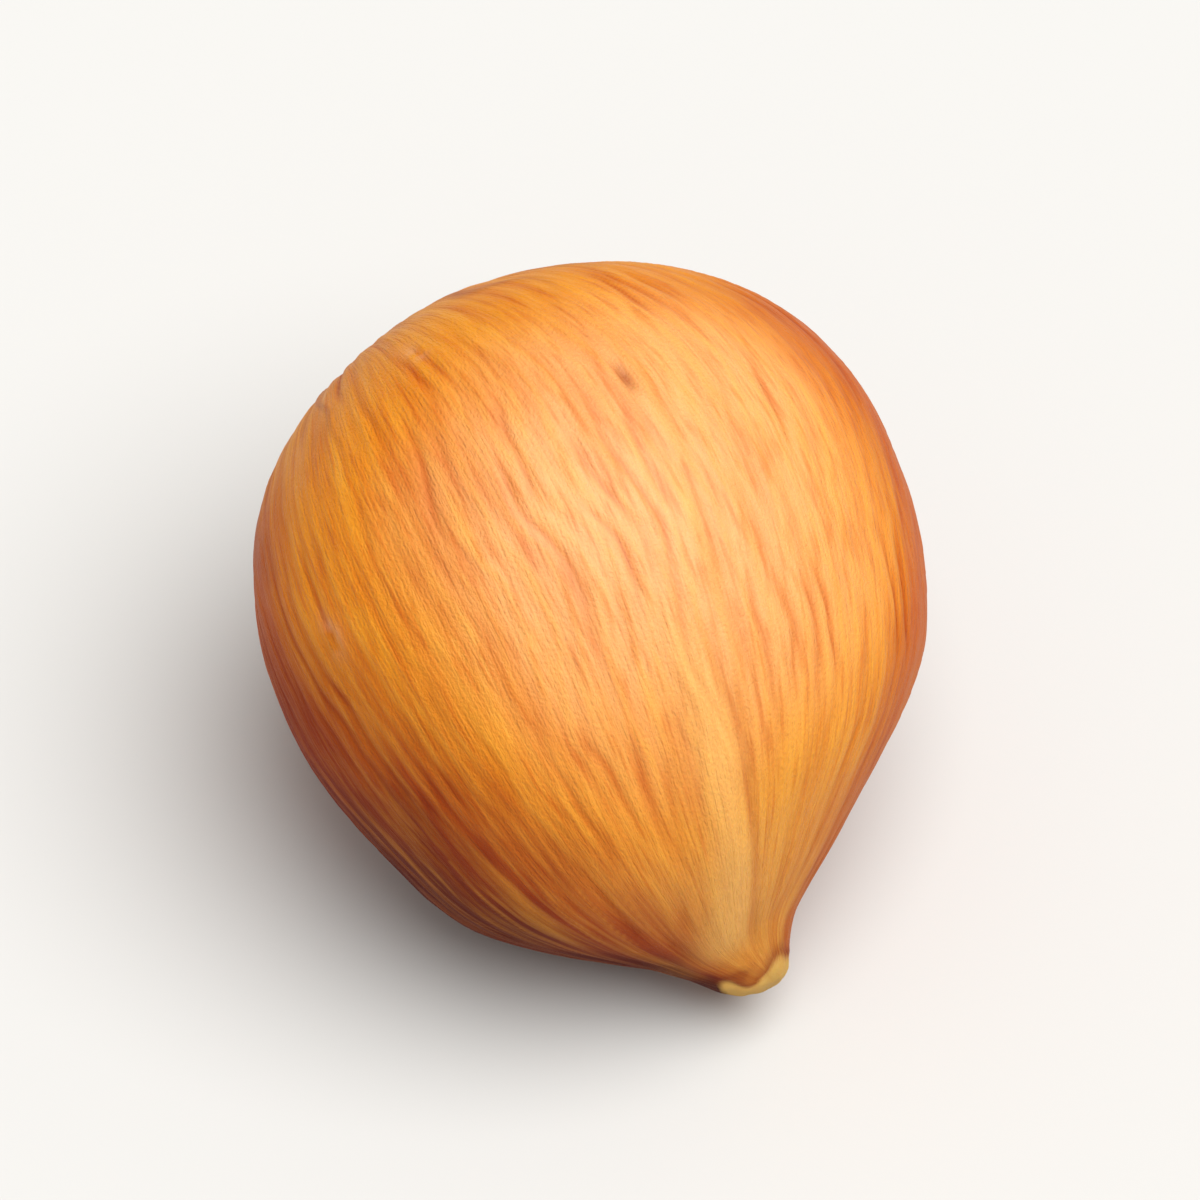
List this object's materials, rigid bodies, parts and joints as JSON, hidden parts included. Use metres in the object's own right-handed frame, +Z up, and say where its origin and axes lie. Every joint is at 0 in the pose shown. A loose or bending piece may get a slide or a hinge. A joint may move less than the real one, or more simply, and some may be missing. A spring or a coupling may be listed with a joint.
{
  "type": "hazelnut",
  "caption": "Shelled hazelnut in its brown skin: a round body with a short pointed tip, lying on its side on a small flat spot.",
  "frame": {"origin": "centre of the small flat spot that the nut lies on", "axes": "+Z up, away from the flat spot; the tip points to -Y and slopes 36 degrees down; +X is to the right when the tip points to the viewer"},
  "size_m": [0.014, 0.0145, 0.0135],
  "materials": {
    "kernel_skin": "satin"
  },
  "bodies": {
    "root": {"hazelnut_kernel": "kernel_skin"}
  },
  "joints": []
}
